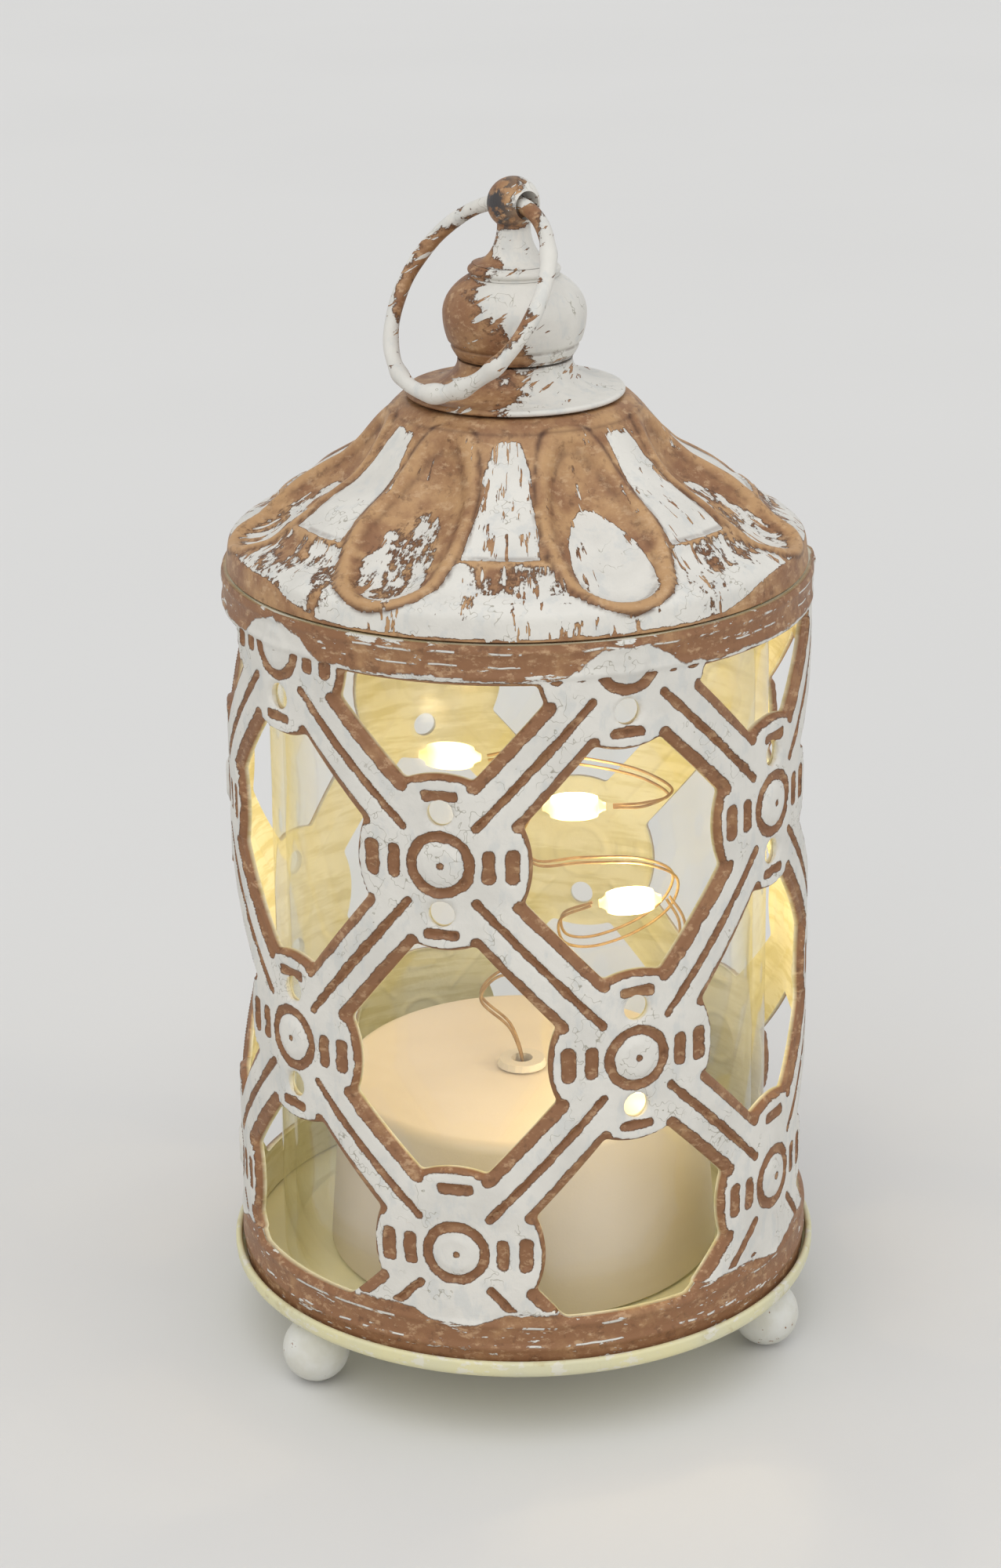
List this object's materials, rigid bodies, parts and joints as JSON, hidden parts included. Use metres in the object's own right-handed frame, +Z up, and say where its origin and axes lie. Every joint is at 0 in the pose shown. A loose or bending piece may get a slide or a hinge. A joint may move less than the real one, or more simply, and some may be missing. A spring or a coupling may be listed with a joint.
{
  "type": "led lantern ornament",
  "caption": "Small pressed-metal lattice lantern with a lift-off dimpled lid, turned finial, carry ring, clear liner and battery string lights.",
  "frame": {"origin": "on the lantern's axis at the table top, under the feet", "axes": "+Z up along the axis, -Y towards the front, +X to the front's right"},
  "size_m": [0.075, 0.075, 0.1487],
  "materials": {
    "chipped_white": "matt off-white paint chipped to brown",
    "chipped_brown": "matt brown paint with off-white brushed over",
    "cream_enamel": "satin cream enamel",
    "clear_acrylic": "clear, glossy",
    "white_plastic": "satin moulded plastic",
    "bright_steel": "bright",
    "contact_brass": "bright",
    "copper_wire": "clear enamelled copper",
    "green_board": "solder mask",
    "dark_plastic": "matt",
    "soft_rubber": "matt",
    "warm_resin": "clear resin drop, lit"
  },
  "bodies": {
    "base": {"base_pan": "cream_enamel", "foot_1": "chipped_white", "foot_2": "chipped_white", "foot_3": "chipped_white", "lattice_cage": "chipped_white", "clear_liner": "clear_acrylic", "unit_housing": "white_plastic", "unit_base_plate": "white_plastic", "unit_screw_1": "bright_steel", "unit_screw_2": "bright_steel", "coin_cell_1": "bright_steel", "coin_cell_2": "bright_steel", "contact_top": "contact_brass", "contact_side": "contact_brass", "circuit_board": "green_board", "timer_chip": "dark_plastic", "timing_crystal": "bright_steel", "switch_body": "dark_plastic", "wire_grommet": "soft_rubber", "led_1": "warm_resin", "led_2": "warm_resin", "led_3": "warm_resin", "led_4": "warm_resin", "wire_1_a": "copper_wire", "wire_1_b": "copper_wire", "wire_2_a": "copper_wire", "wire_2_b": "copper_wire", "wire_3_a": "copper_wire", "wire_3_b": "copper_wire", "wire_4_a": "copper_wire", "wire_4_b": "copper_wire"},
    "lid_assembly": {"lid": "chipped_brown", "lid_collar": "chipped_brown", "finial_skirt": "chipped_brown", "finial_ball": "chipped_white", "finial_collar": "chipped_white", "eye_stem": "chipped_brown", "stem_washer": "bright_steel", "stem_nut": "bright_steel"},
    "ring": {"carry_ring": "chipped_white"},
    "cover": {"battery_cover": "white_plastic"},
    "knob": {"switch_knob": "dark_plastic"}
  },
  "joints": [
    {"name": "lid_lift", "type": "slide", "parent": "base", "child": "lid_assembly", "axis": [0, 0, 1], "range_m": [0, 0.06]},
    {"name": "ring_swing", "type": "hinge", "parent": "lid_assembly", "child": "ring", "pos_m": [0, 0, 0.1455], "axis": [-0.6157, 0.788, 0], "range_deg": [0, 290]},
    {"name": "battery_cover_twist", "type": "hinge", "parent": "base", "child": "cover", "pos_m": [0, 0, 0.0108], "axis": [0, 0, 1], "range_deg": [0, 40]},
    {"name": "switch_slide", "type": "slide", "parent": "base", "child": "knob", "axis": [0, 1, 0], "range_m": [0, 0.003]}
  ]
}
